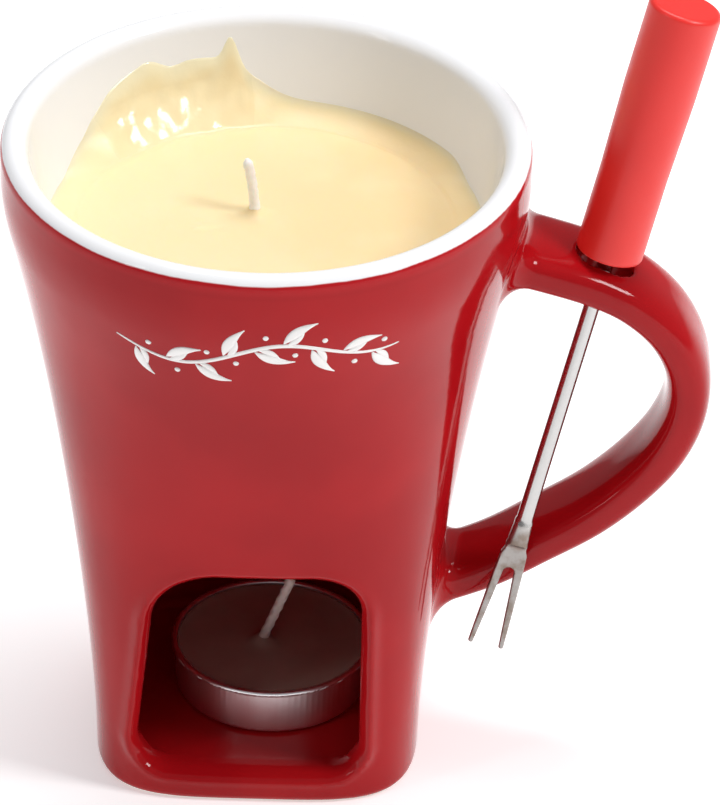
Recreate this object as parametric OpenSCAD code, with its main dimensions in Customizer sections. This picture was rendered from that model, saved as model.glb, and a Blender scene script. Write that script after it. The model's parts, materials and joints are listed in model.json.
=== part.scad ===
// Fondue mug with a candle chamber below its bowl, a tealight, a wax fill and a two-tined fork.
// Millimetres, +Z up. The origin is the centre of the mug's foot.
// The chamber window faces -Y and the handle stands out along +X.

/* [Mug] */
// Height of the mug from foot to lip
mug_h = 130.5; // [128:0.5:134]
// Half of the rounded-square section's width just above the foot
foot_half_w = 31.1; // [30.8:0.1:32]
// Outer radius of the round lip
lip_r = 49.5; // [49:0.1:50.5]
// Radius of the rounding round the foot's edge
foot_round = 1.8; // [1:0.1:3]
// Radius of the lip's rounded edge
lip_round = 2.4; // [2:0.1:2.8]
// Exponent of the section at the foot: 2 is a circle, and higher is squarer
foot_squareness = 4; // [3:0.1:4.5]
// Thickness of the stoneware wall
wall = 5.5; // [5:0.1:6]

/* [Candle chamber] */
// Height of the chamber's floor, level with the window's sill
chamber_floor_z = 6.5; // [5:0.5:8]
// Height of the chamber's ceiling
chamber_top_z = 61; // [60:0.5:62]
// Width of the window
window_w = 43.4; // [42:0.2:46]
// Distance of the window's middle from the mug's, along X
window_x = -1.3; // [-2:0.1:0]
// Height of the window's top edge
window_top_z = 55.5; // [54:0.5:58]
// Corner radius at the window's top, on the side away from the handle
window_far_r = 15; // [10:0.5:18]
// Corner radius at the window's top, on the handle's side
window_near_r = 10.5; // [8:0.5:14]
// Corner radius at the window's sill
window_sill_r = 7; // [4:0.5:10]

/* [Bowl] */
// Height of the bowl's floor
bowl_floor_z = 66; // [65:0.5:68]
// Radius of the bowl where its wall would meet its floor
bowl_floor_r = 31.5; // [30:0.5:32]
// Radius of the curve between the bowl's wall and floor
bowl_corner_r = 9; // [5:0.5:12]
// Height of the wax in the bowl
wax_z = 111; // [95:1:118]

/* [Handle] */
// Width of the strap at its upper end, along Y
strap_top_w = 20; // [18:0.2:20.4]
// Width of the strap at its lower end, along Y
strap_low_w = 16.6; // [15:0.2:17]
// Thickness of the strap at its upper end
strap_top_t = 8.8; // [8:0.1:9]
// Thickness of the strap at its lower end
strap_low_t = 8.2; // [7.4:0.1:8.8]
// Length of the fork slot, along the strap
slot_l = 11.6; // [11.4:0.1:12.4]
// Width of the fork slot, across the strap
slot_w = 7.8; // [7.6:0.1:8.4]

/* [Fork] */
// Length of the grip
grip_l = 52; // [48:0.5:60]
// Radius of the grip at its lower end
grip_low_r = 6.4; // [6:0.1:6.6]
// Radius of the grip at its top
grip_top_r = 6.9; // [6.4:0.1:7.4]
// Radius of the steel shank
shank_r = 1.6; // [1.3:0.1:1.8]
// Length of the steel below the grip
steel_l = 85.4; // [78:0.2:90]
// Lean of the fork away from the mug, in degrees about Y
fork_lean = 14.2; // [13:0.1:15]
// Lean of the fork's top towards the back, in degrees about X
fork_back_lean = 8; // [7.9:0.1:8.5]

/* [Candles] */
// Radius of the tealight cup
cup_r = 19; // [18.5:0.1:19.5]
// Height of the tealight cup
cup_h = 10; // [9:0.1:12]
// Radius of the tealight's wick
tea_wick_r = 0.95; // [0.6:0.05:1.1]
// Radius of the wick in the bowl
bowl_wick_r = 1; // [0.8:0.05:1.3]

/* [Hidden] */

ring_sides = 72;
eps = 0.01;
$fn = 64;

// --- Mug outline -------------------------------------------------------------

lip_z = mug_h - lip_round;
lip_mid_r = lip_r - lip_round;
// The wall stops flaring at the lip band, which is a short upright ring.
band_z = mug_h - 11.5;
flare_power = 1.62;
// Sections turn from rounded square to round between the foot and this height.
round_z = 105;

function smooth(t) = let (u = min(max(t, 0), 1)) u * u * (3 - 2 * u);

// Half width of the body at height z, without its edge roundings
function half_w(z) = foot_half_w + (lip_r - foot_half_w) * pow(min(z / band_z, 1), flare_power);

function squareness(z) = 2 + (foot_squareness - 2) * (1 - smooth(z / round_z));

// Radius of a superellipse of half width w and exponent n in the direction a
function section_r(w, n, a) = w / pow(pow(abs(cos(a)), n) + pow(abs(sin(a)), n), 1 / n);

function ring(z, w, n, sides) =
    [for (i = [0 : sides - 1]) let (a = 360 * i / sides, r = section_r(w, n, a)) [r * cos(a), r * sin(a), z]];

// A closed solid through rings that all have the same number of points
module skin(rings) {
    sides = len(rings[0]);
    last = len(rings) - 1;
    walls = [
        for (k = [0 : last - 1]) for (i = [0 : sides - 1]) let (
            j = (i + 1) % sides,
            a = k * sides + i,
            b = k * sides + j,
            c = (k + 1) * sides + j,
            d = (k + 1) * sides + i
        ) each [[a, d, c], [a, c, b]]
    ];
    first_face = [for (i = [0 : sides - 1]) i];
    last_face = [for (i = [sides - 1 : -1 : 0]) last * sides + i];
    faces = concat([first_face, last_face], walls);
    polyhedron(points = [for (r = rings) each r], faces = faces, convexity = 6);
}

// A closed solid through levels given as [height, half width]
module loft(levels, sides) {
    skin([for (lv = levels) ring(lv[0], lv[1], squareness(lv[0]), sides)]);
}

foot_levels = [
    for (a = [0 : 30 : 60]) [foot_round * (1 - cos(a)), half_w(0) - foot_round * (1 - sin(a))]
];
wall_levels = [
    for (k = [0 : 14]) let (z = foot_round + (band_z - foot_round) * k / 14) [z, half_w(z)]
];
lip_levels = [
    for (a = [0 : 22.5 : 90]) [lip_z + lip_round * sin(a), lip_mid_r + lip_round * cos(a)]
];
outer_levels = concat(foot_levels, wall_levels, lip_levels);

// The chamber's walls follow the outside up to where its ceiling starts to curve in.
chamber_curve = 6;
chamber_levels = [
    for (k = [0 : 3]) let (z = chamber_floor_z + (chamber_top_z - chamber_curve - chamber_floor_z) * k / 3)
        [z, half_w(z) - wall],
    [chamber_top_z - chamber_curve / 4, half_w(chamber_top_z) - wall - chamber_curve / 3],
    [chamber_top_z, half_w(chamber_top_z) - wall - chamber_curve]
];

// --- Window ------------------------------------------------------------------

// A quarter round about [x, z], from the angle a0
function corner(x, z, r, a0) = [for (a = [a0 : 7.5 : a0 + 90]) [x + r * cos(a), z + r * sin(a)]];

// Outline of the window in X and Z
module window_outline() {
    left = window_x - window_w / 2;
    right = window_x + window_w / 2;
    low = chamber_floor_z;
    polygon(concat(
        corner(right - window_sill_r, low + window_sill_r, window_sill_r, -90),
        corner(right - window_near_r, window_top_z - window_near_r, window_near_r, 0),
        corner(left + window_far_r, window_top_z - window_far_r, window_far_r, 90),
        corner(left + window_sill_r, low + window_sill_r, window_sill_r, 180)
    ));
}

// The cut starts in the chamber and runs out past the widest part of the wall beside it.
window_cut_past = 6;

module window_cut() {
    from_y = -(half_w(chamber_floor_z) - wall - window_cut_past);
    to_y = -(half_w(window_top_z) + window_cut_past);
    translate([0, from_y, 0]) rotate([90, 0, 0]) linear_extrude(from_y - to_y) window_outline();
}

// --- Bowl --------------------------------------------------------------------

// A narrow flat ring runs round the top of the lip, between its two roundings.
lip_flat = 0.4;
lip_bowl_mid_r = lip_mid_r - lip_flat;
lip_inner_r = lip_bowl_mid_r - lip_round;
wall_slope = (lip_inner_r - bowl_floor_r) / (lip_z - bowl_floor_z);
wall_angle = atan(wall_slope);
// Centre of the curve between the bowl's floor and its leaning wall
corner_y = bowl_floor_z + bowl_corner_r;
corner_x = bowl_floor_r + wall_slope * bowl_corner_r - bowl_corner_r / cos(wall_angle);

function bowl_r(z) = bowl_floor_r + wall_slope * (z - bowl_floor_z);

// Half section of the space inside the bowl, up past the lip
module bowl_outline() {
    polygon(concat(
        [[0, bowl_floor_z]],
        [for (a = [-90 : 10 : -10]) [corner_x + bowl_corner_r * cos(a), corner_y + bowl_corner_r * sin(a)]],
        [[
            corner_x + bowl_corner_r * cos(wall_angle),
            corner_y - bowl_corner_r * sin(wall_angle)
        ]],
        [for (a = [180 : -15 : 90]) [lip_bowl_mid_r + lip_round * cos(a), lip_z + lip_round * sin(a)]],
        [[lip_bowl_mid_r, mug_h + 1], [0, mug_h + 1]]
    ));
}

// --- Handle ------------------------------------------------------------------

// Middle of the strap in X and Z, from inside the wall at the top to inside it below
strap_path = [
    [38, 109.5], [45, 108.3], [53, 106.2], [62, 103.2], [69.5, 99.2], [76, 92.8], [79.8, 84.5],
    [80, 75.5], [76.8, 66.5], [71, 58.5], [63, 50.8], [53.5, 44.3], [44, 38.3], [33, 33.5], [24, 30.2],
    [14, 26.6]
];
strap_steps = 4;
strap_sides = 28;
strap_squareness = 3;

// Catmull-Rom curve between b and c
function spline(a, b, c, d, t) =
    0.5 * (2 * b + (c - a) * t + (2 * a - 5 * b + 4 * c - d) * t * t + (3 * b - a - 3 * c + d) * t * t * t);

strap_curve = [
    for (k = [1 : len(strap_path) - 3]) for (s = [0 : strap_steps - 1])
        spline(strap_path[k - 1], strap_path[k], strap_path[k + 1], strap_path[k + 2], s / strap_steps),
    strap_path[len(strap_path) - 2]
];

// One section of the strap, square to the curve
function strap_ring(k) = let (
    here = strap_curve[k],
    run = strap_curve[min(k + 1, len(strap_curve) - 1)] - strap_curve[max(k - 1, 0)],
    along = run / norm(run),
    out = [-along[1], along[0]],
    down = k / (len(strap_curve) - 1),
    half_t = (strap_top_t + (strap_low_t - strap_top_t) * down) / 2,
    half_w = (strap_top_w + (strap_low_w - strap_top_w) * down) / 2
) [
    for (i = [0 : strap_sides - 1]) let (
        a = -360 * i / strap_sides,
        r = section_r(1, strap_squareness, a),
        t = half_t * r * cos(a)
    ) [here[0] + out[0] * t, half_w * r * sin(a), here[1] + out[1] * t]
];

module strap() {
    skin([for (k = [0 : len(strap_curve) - 1]) strap_ring(k)]);
}

// Middle of the fork slot, and the slope of the strap there
slot_x = 62.6;
slot_y = -1.5;
slot_z = 103.2;
slot_tilt = 18;
// The slot's cut reaches this far above and below the middle of the strap.
slot_reach = 12;

module slot_cut() {
    spread = (slot_l - slot_w) / 2;
    translate([slot_x, slot_y, slot_z]) rotate([0, slot_tilt, 0]) translate([0, 0, -slot_reach]) {
        for (side = [-1, 1]) translate([side * spread, 0, 0]) cylinder(r = slot_w / 2, h = 2 * slot_reach);
        translate([-spread, -slot_w / 2, 0]) cube([2 * spread, slot_w, 2 * slot_reach]);
    }
}

// --- Fork --------------------------------------------------------------------

// Middle of the grip's lower end
fork_seat = [64.2, slot_y - 0.6, 108.3];
shank_in_grip = 32;
grip_edge_r = 0.8;
head_l = 23.8;
tine_l = 16.3;
head_t = 1.4;

module at_fork() {
    translate(fork_seat) rotate([-fork_back_lean, fork_lean, 0]) children();
}

// A quarter round at the grip's edge, for its half section
function grip_edge(r, z, from) =
    [for (a = [from : 30 : from + 90]) [r + grip_edge_r * (cos(a) - 1), z + grip_edge_r * sin(a)]];

// Half of the flat head in X and Z, from the shank down to a tine's tip
module head_half_outline() {
    tip = -steel_l;
    crotch = tip + tine_l;
    polygon([
        [-eps, tip + head_l], [1.3, tip + head_l], [1.7, tip + head_l - 3], [2.5, crotch + 3],
        [2.75, crotch], [3.5, tip + 2], [3.4, tip], [2.6, tip], [1.2, crotch - 2], [0.6, crotch - 0.5],
        [-eps, crotch]
    ]);
}

// --- Candles -----------------------------------------------------------------

// The tealight stands just clear of the chamber's floor.
rest_gap = 0.1;
tea_pos = [2.3, 0.9, chamber_floor_z + rest_gap];
cup_t = 0.3;
cup_bead_r = 0.6;
tea_wax_h = cup_h - 1;
// The wick and its clip sit a little off the cup's middle.
tea_wick_pos = tea_pos + [-1.8, 0, 0];
tea_wick_lean = 21;
tea_wick_out = 16;
tea_clip_r = 7;
tea_collar_r = 1.6;
tea_collar_h = 3.5;
// Height of a wick's lower end in its clip's collar
wick_start = 1;

bowl_wick_pos = [-2.1, 4.5, bowl_floor_z];
bowl_wick_lean = 12.5;
bowl_wick_out = 12;
bowl_clip_r = 9;
bowl_collar_r = 2;
bowl_collar_h = 5;
clip_t = 0.4;

// A disc with a short collar that holds a wick upright
module clip_body(disc_r, collar_r, collar_h) {
    cylinder(r = disc_r, h = clip_t);
    cylinder(r = collar_r, h = collar_h);
}

wick_sides = 12;

// Middle of a wick that stands upright in its wax and leans over where it is free
function wick_curve(from_z, wax_top, out_l, lean) = concat(
    [[0, from_z], [0, wax_top - 1]],
    [for (s = [1 : 4]) let (a = lean * s / 4, l = out_l * s / 4) [l * sin(a), wax_top + l * cos(a)]]
);

function wick_ring(p, r, lean) =
    [for (i = [0 : wick_sides - 1]) let (a = 360 * i / wick_sides)
        [p[0] + r * cos(a) * cos(lean), r * sin(a), p[1] - r * cos(a) * sin(lean)]];

module wick_body(r, from_z, wax_top, out_l, lean) {
    curve = wick_curve(from_z, wax_top, out_l, lean);
    last = len(curve) - 1;
    skin([for (k = [0 : last]) wick_ring(curve[k], r, lean * max(k - 1, 0) / (last - 1))]);
}

// --- Sub-parts ---------------------------------------------------------------

module mug_body() {
    color([0.62, 0.07, 0.09]) difference() {
        loft(outer_levels, ring_sides);
        loft(chamber_levels, 48);
        rotate_extrude($fn = 96) bowl_outline();
        window_cut();
    }
}

module mug_handle() {
    color([0.62, 0.07, 0.09]) difference() {
        strap();
        loft(outer_levels, ring_sides);
        slot_cut();
    }
}

module bowl_wax() {
    color([0.98, 0.90, 0.62]) difference() {
        rotate_extrude($fn = 96) intersection() {
            bowl_outline();
            translate([0, bowl_floor_z - 1]) square([lip_r, wax_z - bowl_floor_z + 1]);
        }
        translate(bowl_wick_pos) {
            clip_body(bowl_clip_r, bowl_collar_r, bowl_collar_h);
            cylinder(r = bowl_wick_r, h = mug_h);
        }
    }
}

module bowl_wick() {
    color([0.97, 0.95, 0.88]) translate(bowl_wick_pos)
        wick_body(bowl_wick_r, wick_start, wax_z - bowl_floor_z, bowl_wick_out, -bowl_wick_lean);
}

module bowl_wick_clip() {
    color([0.72, 0.73, 0.75]) translate(bowl_wick_pos) difference() {
        clip_body(bowl_clip_r, bowl_collar_r, bowl_collar_h);
        translate([0, 0, wick_start]) cylinder(r = bowl_wick_r, h = bowl_collar_h);
    }
}

module tealight_cup() {
    color([0.80, 0.81, 0.83]) translate(tea_pos) {
        difference() {
            cylinder(r = cup_r, h = cup_h);
            translate([0, 0, cup_t]) cylinder(r = cup_r - cup_t, h = cup_h);
        }
        translate([0, 0, cup_h - cup_bead_r]) difference() {
            cylinder(r = cup_r + cup_bead_r / 2, h = cup_bead_r);
            translate([0, 0, -eps]) cylinder(r = cup_r - eps, h = cup_bead_r + 2 * eps);
        }
    }
}

module tealight_wax() {
    color([0.93, 0.90, 0.86]) difference() {
        translate(tea_pos + [0, 0, cup_t]) cylinder(r = cup_r - cup_t, h = tea_wax_h - cup_t);
        translate(tea_wick_pos) {
            translate([0, 0, cup_t]) clip_body(tea_clip_r, tea_collar_r, tea_collar_h);
            cylinder(r = tea_wick_r, h = cup_h);
        }
    }
}

module tealight_wick() {
    color([0.93, 0.91, 0.86]) translate(tea_wick_pos)
        wick_body(tea_wick_r, wick_start, tea_wax_h, tea_wick_out, tea_wick_lean);
}

module tealight_wick_clip() {
    color([0.72, 0.73, 0.75]) translate(tea_wick_pos) difference() {
        translate([0, 0, cup_t]) clip_body(tea_clip_r, tea_collar_r, tea_collar_h);
        translate([0, 0, wick_start]) cylinder(r = tea_wick_r, h = cup_h);
    }
}

module fork_grip() {
    color([0.93, 0.16, 0.14]) at_fork() difference() {
        rotate_extrude($fn = 64) polygon(concat(
            [[0, 0]],
            grip_edge(grip_low_r, grip_edge_r, -90),
            grip_edge(grip_top_r, grip_l - grip_edge_r, 0),
            [[0, grip_l]]
        ));
        translate([0, 0, -eps]) cylinder(r = shank_r, h = shank_in_grip + eps);
    }
}

module fork_steel() {
    color([0.70, 0.70, 0.71]) at_fork() {
        translate([0, 0, head_l - steel_l - 1])
            cylinder(r = shank_r, h = steel_l - head_l + 1 + shank_in_grip);
        translate([0, head_t / 2, 0]) rotate([90, 0, 0]) linear_extrude(head_t) {
            head_half_outline();
            mirror([1, 0]) head_half_outline();
        }
    }
}

mug_body();
mug_handle();
bowl_wax();
bowl_wick();
bowl_wick_clip();
tealight_cup();
tealight_wax();
tealight_wick();
tealight_wick_clip();
fork_grip();
fork_steel();
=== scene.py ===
"""Looks of the fondue mug set: glazed stoneware, poured wax, a tealight and a two-tined fork.

Shapes are worked out in millimetres in the row frame and turned into metres when a mesh is made.
"""

import json
import math

import bmesh
import bpy
import numpy as np
from mathutils import Matrix, Vector


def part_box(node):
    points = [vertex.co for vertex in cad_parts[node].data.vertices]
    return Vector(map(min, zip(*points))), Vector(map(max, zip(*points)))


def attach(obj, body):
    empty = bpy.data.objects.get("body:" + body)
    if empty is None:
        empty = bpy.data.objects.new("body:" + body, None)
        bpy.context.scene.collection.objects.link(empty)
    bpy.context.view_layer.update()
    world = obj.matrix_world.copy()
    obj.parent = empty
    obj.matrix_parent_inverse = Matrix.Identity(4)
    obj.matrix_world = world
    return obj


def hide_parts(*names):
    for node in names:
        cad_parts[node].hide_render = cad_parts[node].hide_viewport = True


MM = 0.001

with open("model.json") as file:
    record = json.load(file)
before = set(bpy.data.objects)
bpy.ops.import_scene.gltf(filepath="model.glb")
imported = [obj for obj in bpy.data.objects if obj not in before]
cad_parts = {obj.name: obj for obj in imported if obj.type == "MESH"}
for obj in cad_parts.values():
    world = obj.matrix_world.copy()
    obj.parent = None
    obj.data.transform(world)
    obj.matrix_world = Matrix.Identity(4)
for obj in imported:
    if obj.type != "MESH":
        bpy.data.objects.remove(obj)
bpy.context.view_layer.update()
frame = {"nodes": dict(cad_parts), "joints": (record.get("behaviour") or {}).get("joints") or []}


def cad_box(node):
    """Lowest and highest corners of a CAD node, in millimetres."""
    low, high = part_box(node)
    return np.array(low) / MM, np.array(high) / MM


# --- Sizes, in millimetres -----------------------------------------------------------------------

body_high = cad_box("mug_body")[1]
MUG_H = body_high[2]
LIP_R = body_high[0]
FOOT_HALF_W = 31.1
FOOT_ROUND = 1.8
LIP_ROUND = 2.4
WALL = 5.5
BAND_Z = MUG_H - 11.5
FLARE_POWER = 1.62
# The flare's curve is followed up to this many times BAND_Z.
FLARE_LIMIT = 1.3
LIP_BLEND = 1.2
ROUND_Z = 105.0
FOOT_SQUARENESS = 4.0

CHAMBER_FLOOR = 6.5
CHAMBER_TOP = 61.0
CHAMBER_FLOOR_ROUND = 1.5
CHAMBER_CEILING_ROUND = 6.0
WINDOW_X = -1.3
WINDOW_HALF = 21.7
WINDOW_TOP = 55.5
WINDOW_FAR_R = 12.5
# The far side leans in by this share of the height above the sill.
WINDOW_LEAN = 0.09
WINDOW_NEAR_R = 10.5
WINDOW_SILL_R = 7.0
# The window's prism runs from outside the front wall back to here.
WINDOW_BACK_Y = -10.0
# The glaze's rounded rim takes this much off the opening, all of it from this height above the sill.
RIM_INSET = 0.6
RIM_INSET_RISE = 4.0
RIM_ROUND = 2.5
# The sill is rounder still, up to here and then less and less.
SILL_EXTRA_ROUND = 1.5
SILL_ROUND_Z = 6.0
SILL_ROUND_RISE = 8.0
# Where the window's sides meet the chamber's, the corner is sharper at the sill.
INNER_ROUND_LEAST = 0.5
INNER_ROUND_MORE = 2.0
INNER_ROUND_START = 1.0
INNER_ROUND_RISE = 7.0
# The rolled bead round the window: its height, and its crest's distance outside the window's edge.
BEAD_H = 1.0
BEAD_AT = 1.5
BEAD_SPREAD = 1.25
# Along the window's top it loses this share of its height, from this height up.
BEAD_FADE = 0.65
BEAD_FADE_Z = 42.0
BEAD_FADE_RISE = 10.0
# It keeps to the front and stops short of the foot.
BEAD_FRONT = 8.0
BEAD_FOOT_Z = 1.0
BEAD_FOOT_RISE = 4.0

WAX_Z = cad_box("bowl_wax")[1][2]
BOWL_FLOOR = cad_box("bowl_wax")[0][2]
BOWL_FLOOR_R = 31.5
BOWL_CORNER = 9.0
# The flat on top of the lip, between its two roundings.
LIP_LAND = 0.4
LIP_INNER_R = LIP_R - 2 * LIP_ROUND - LIP_LAND
BOWL_SLOPE = (LIP_INNER_R - BOWL_FLOOR_R) / (MUG_H - LIP_ROUND - BOWL_FLOOR)

STRAP_LINE = np.array([
    [38, 109.5], [45, 108.3], [53, 106.2], [62, 103.2], [69.5, 99.2], [76, 92.8], [79.8, 84.5],
    [80, 75.5], [76.8, 66.5], [71, 58.5], [63, 50.8], [53.5, 44.3], [44, 38.3], [33, 33.5],
    [24, 30.2], [14, 26.6],
])
STRAP_HALF_W = (10.0, 8.3)
STRAP_HALF_T = (4.4, 4.1)
STRAP_FILLET = 4.5
SLOT_AT = (62.6, -1.5, 103.2)
SLOT_TILT = math.radians(18)
SLOT_HALF_L = 5.8
SLOT_HALF_W = 3.9
SLOT_REACH = 12.0
SLOT_ROUND = 0.7

FORK_SEAT = np.array([64.2, -2.1, 108.3])
GRIP_L = 52.0
GRIP_LOW_R = 6.4
GRIP_TOP_R = 6.9
SHANK_R = 1.6
SHANK_IN_GRIP = 32.0
STEEL_L = 85.4
HEAD_L = 23.8
TINE_L = 16.3
HEAD_T = 1.4
# The shank's end runs this far down into the head, and the head's plate this far up over the shank.
SHANK_IN_HEAD = 1.0
HEAD_PAST = 3.0
# Half widths and half thicknesses of the fork's head, by height above the tines' tips.
HEAD_W_AT = [0, TINE_L, TINE_L + 4, HEAD_L - SHANK_IN_HEAD, HEAD_L + HEAD_PAST]
HEAD_HALF_W = [3.5, 2.8, 2.55, 1.5, 0.9]
HEAD_T_AT = [0, 6, TINE_L + 6, HEAD_L + HEAD_PAST]
HEAD_HALF_T = [0.42, 0.62, HEAD_T / 2, 0.95]
HEAD_EDGE_ROUND = 0.35
HEAD_BLEND = 1.6
TIP_ROUND = 0.5
SHANK_END_ROUND = 0.6
# The steel stops this far short of the end of its hole in the grip.
SHANK_SHORT = 0.5
# The notch between the tines: its radius at the crotch, and how fast it widens towards the tips.
NOTCH_R = 1.1
NOTCH_WIDENS = 0.09

cup_low, cup_high = cad_box("tealight_cup")
CUP_AT = (cup_low + cup_high) / 2
CUP_R = (cup_high[0] - cup_low[0]) / 2
CUP_Z = cup_low[2]
CUP_H = cup_high[2] - cup_low[2]
# The tealight's wick stands in the middle of its clip, a little off the cup's middle.
TEA_WICK_FOOT = sum(cad_box("tealight_wick_clip"))[:2] / 2


# --- Signed distance fields ----------------------------------------------------------------------


def smooth(t):
    t = np.clip(t, 0, 1)
    return t * t * (3 - 2 * t)


def meet(a, b, r):
    """Where both fields are inside, with the edge between them rounded to radius r."""
    return np.minimum(-r, np.maximum(a, b)) + np.hypot(np.maximum(a + r, 0), np.maximum(b + r, 0))


def join(a, b, r):
    """Where either field is inside, with the corner between them filled to radius r."""
    return np.maximum(r, np.minimum(a, b)) - np.hypot(np.maximum(r - a, 0), np.maximum(r - b, 0))


def half_w(z):
    """Half width of the mug at height z; the flare runs softly into the upright lip."""
    flare = FOOT_HALF_W + (LIP_R - FOOT_HALF_W) * np.clip(z / BAND_Z, 0, FLARE_LIMIT) ** FLARE_POWER
    blend = np.maximum(LIP_BLEND - np.abs(flare - LIP_R), 0) / LIP_BLEND
    return np.minimum(flare, LIP_R) - blend**2 * LIP_BLEND / 4


def side_field(x, y, z):
    """The mug's flaring side, from a rounded square at the foot to a circle at the lip."""
    n = 2 + (FOOT_SQUARENESS - 2) * (1 - smooth(z / ROUND_Z))
    ax, ay = np.abs(x) + 1e-6, np.abs(y) + 1e-6
    radius = (ax**n + ay**n) ** (1 / n)
    slope = (half_w(z + 0.1) - half_w(z - 0.1)) / 0.2
    steep = np.sqrt((ax / radius) ** (2 * n - 2) + (ay / radius) ** (2 * n - 2) + slope**2)
    return (radius - half_w(z)) / steep


def bowl_r(z):
    return BOWL_FLOOR_R + BOWL_SLOPE * (z - BOWL_FLOOR)


def bowl_field(x, y, z):
    cone = (np.hypot(x, y) - bowl_r(z)) / math.hypot(1, BOWL_SLOPE)
    return meet(cone, BOWL_FLOOR - z, BOWL_CORNER)


def window_outline_field(x, z):
    """The window's outline, each of whose corners has its own radius."""
    mid = (WINDOW_TOP + CHAMBER_FLOOR) / 2
    top_r = np.where(x < WINDOW_X, WINDOW_FAR_R, WINDOW_NEAR_R)
    r = np.where(z > mid, top_r, WINDOW_SILL_R)
    lean = WINDOW_LEAN / 2 * np.maximum(z - CHAMBER_FLOOR - WINDOW_SILL_R, 0)
    qx = np.abs(x - WINDOW_X - lean) - (WINDOW_HALF - lean) + r
    qz = np.abs(z - mid) - (WINDOW_TOP - CHAMBER_FLOOR) / 2 + r
    return np.minimum(np.maximum(qx, qz), 0) + np.hypot(np.maximum(qx, 0), np.maximum(qz, 0)) - r


def chamber_field(x, y, z, side):
    """The candle chamber and its window, whose sill is level with the chamber's floor."""
    room = meet(side + WALL, CHAMBER_FLOOR - z, CHAMBER_FLOOR_ROUND)
    room = meet(room, z - CHAMBER_TOP, CHAMBER_CEILING_ROUND)
    up = z - CHAMBER_FLOOR
    inset = RIM_INSET * smooth(up / RIM_INSET_RISE)
    window = np.maximum(window_outline_field(x, z) + inset, y - WINDOW_BACK_Y)
    more_round = smooth((up - INNER_ROUND_START) / INNER_ROUND_RISE)
    return join(room, window, INNER_ROUND_LEAST + INNER_ROUND_MORE * more_round)


def bead(x, y, z):
    """Height of the rolled bead round the window, fainter along its top."""
    away = window_outline_field(x, z)
    crest = BEAD_H * np.exp(-(((away - BEAD_AT) / BEAD_SPREAD) ** 2))
    fade = 1 - BEAD_FADE * smooth((z - BEAD_FADE_Z) / BEAD_FADE_RISE)
    off_foot = smooth((z - BEAD_FOOT_Z) / BEAD_FOOT_RISE)
    return crest * fade * smooth(-y / BEAD_FRONT) * off_foot


def outside_field(x, y, z):
    """The mug's outside, without its cavities."""
    return meet(side_field(x, y, z), -z, FOOT_ROUND)


def mug_field(x, y, z):
    side = side_field(x, y, z)
    wall = np.maximum(meet(side - bead(x, y, z), -z, FOOT_ROUND), -bowl_field(x, y, z))
    wall = meet(wall, z - MUG_H, LIP_ROUND)
    above_sill = smooth((z - SILL_ROUND_Z) / SILL_ROUND_RISE)
    rim_round = RIM_ROUND + SILL_EXTRA_ROUND * (1 - above_sill)
    return meet(wall, -chamber_field(x, y, z, side), rim_round)


def spline(points, u):
    """Catmull-Rom curve through all points but the ends, with its first two derivatives."""
    k = np.clip(u.astype(int), 0, len(points) - 4)
    t = (u - k)[:, None]
    a, b, c, d = (points[k + j] for j in range(4))
    p1, p2, p3 = c - a, 2 * a - 5 * b + 4 * c - d, 3 * b - a - 3 * c + d
    place = 0.5 * (2 * b + p1 * t + p2 * t**2 + p3 * t**3)
    return place, 0.5 * (p1 + 2 * p2 * t + 3 * p3 * t**2), p2 + 3 * p3 * t


def strap_field(x, y, z):
    """The handle's strap: a squarish section swept along its middle line."""
    shape = x.shape
    x, y, z = x.ravel(), y.ravel(), z.ravel()
    spans = len(STRAP_LINE) - 3
    coarse = np.linspace(0, spans, 6 * spans + 1)
    samples = spline(STRAP_LINE, coarse)[0]
    field = np.empty(len(x))
    for start in range(0, len(x), 60000):
        part = slice(start, start + 60000)
        p = np.stack([x[part], z[part]], 1)
        away = (p[:, :1] - samples[:, 0]) ** 2 + (p[:, 1:] - samples[:, 1]) ** 2
        u = coarse[away.argmin(1)]
        for _ in range(3):
            place, run, bend = spline(STRAP_LINE, u)
            off = place - p
            steepness = np.maximum((run**2).sum(1) + (off * bend).sum(1), 1)
            u = np.clip(u - (off * run).sum(1) / steepness, 0, spans)
        place, run, _ = spline(STRAP_LINE, u)
        run /= np.linalg.norm(run, axis=1)[:, None]
        off = p - place
        out = off[:, 0] * -run[:, 1] + off[:, 1] * run[:, 0]
        down = u / spans
        ht = STRAP_HALF_T[0] + (STRAP_HALF_T[1] - STRAP_HALF_T[0]) * down
        hw = STRAP_HALF_W[0] + (STRAP_HALF_W[1] - STRAP_HALF_W[0]) * down
        a, b = np.abs(out) / ht + 1e-6, np.abs(y[part]) / hw + 1e-6
        whole = (a**3 + b**3) ** (1 / 3)
        steep = np.sqrt(((a / whole) ** 2 / ht) ** 2 + ((b / whole) ** 2 / hw) ** 2)
        past = np.abs((off * run).sum(1))
        field[part] = np.maximum((whole - 1) / steep, np.where((u <= 0) | (u >= spans), past, -99))
    return field.reshape(shape)


def slot_field(x, y, z):
    """The fork's slot through the strap."""
    dx, dz = x - SLOT_AT[0], z - SLOT_AT[2]
    along = dx * math.cos(SLOT_TILT) - dz * math.sin(SLOT_TILT)
    through = dx * math.sin(SLOT_TILT) + dz * math.cos(SLOT_TILT)
    ends = np.maximum(np.abs(along) - (SLOT_HALF_L - SLOT_HALF_W), 0)
    return np.maximum(np.hypot(ends, y - SLOT_AT[1]) - SLOT_HALF_W, np.abs(through) - SLOT_REACH)


def handle_field(x, y, z):
    """The strap with its fillets onto the mug's outside, and with its slot."""
    strap = meet(strap_field(x, y, z), -slot_field(x, y, z), SLOT_ROUND)
    return join(outside_field(x, y, z), strap, STRAP_FILLET)


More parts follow.
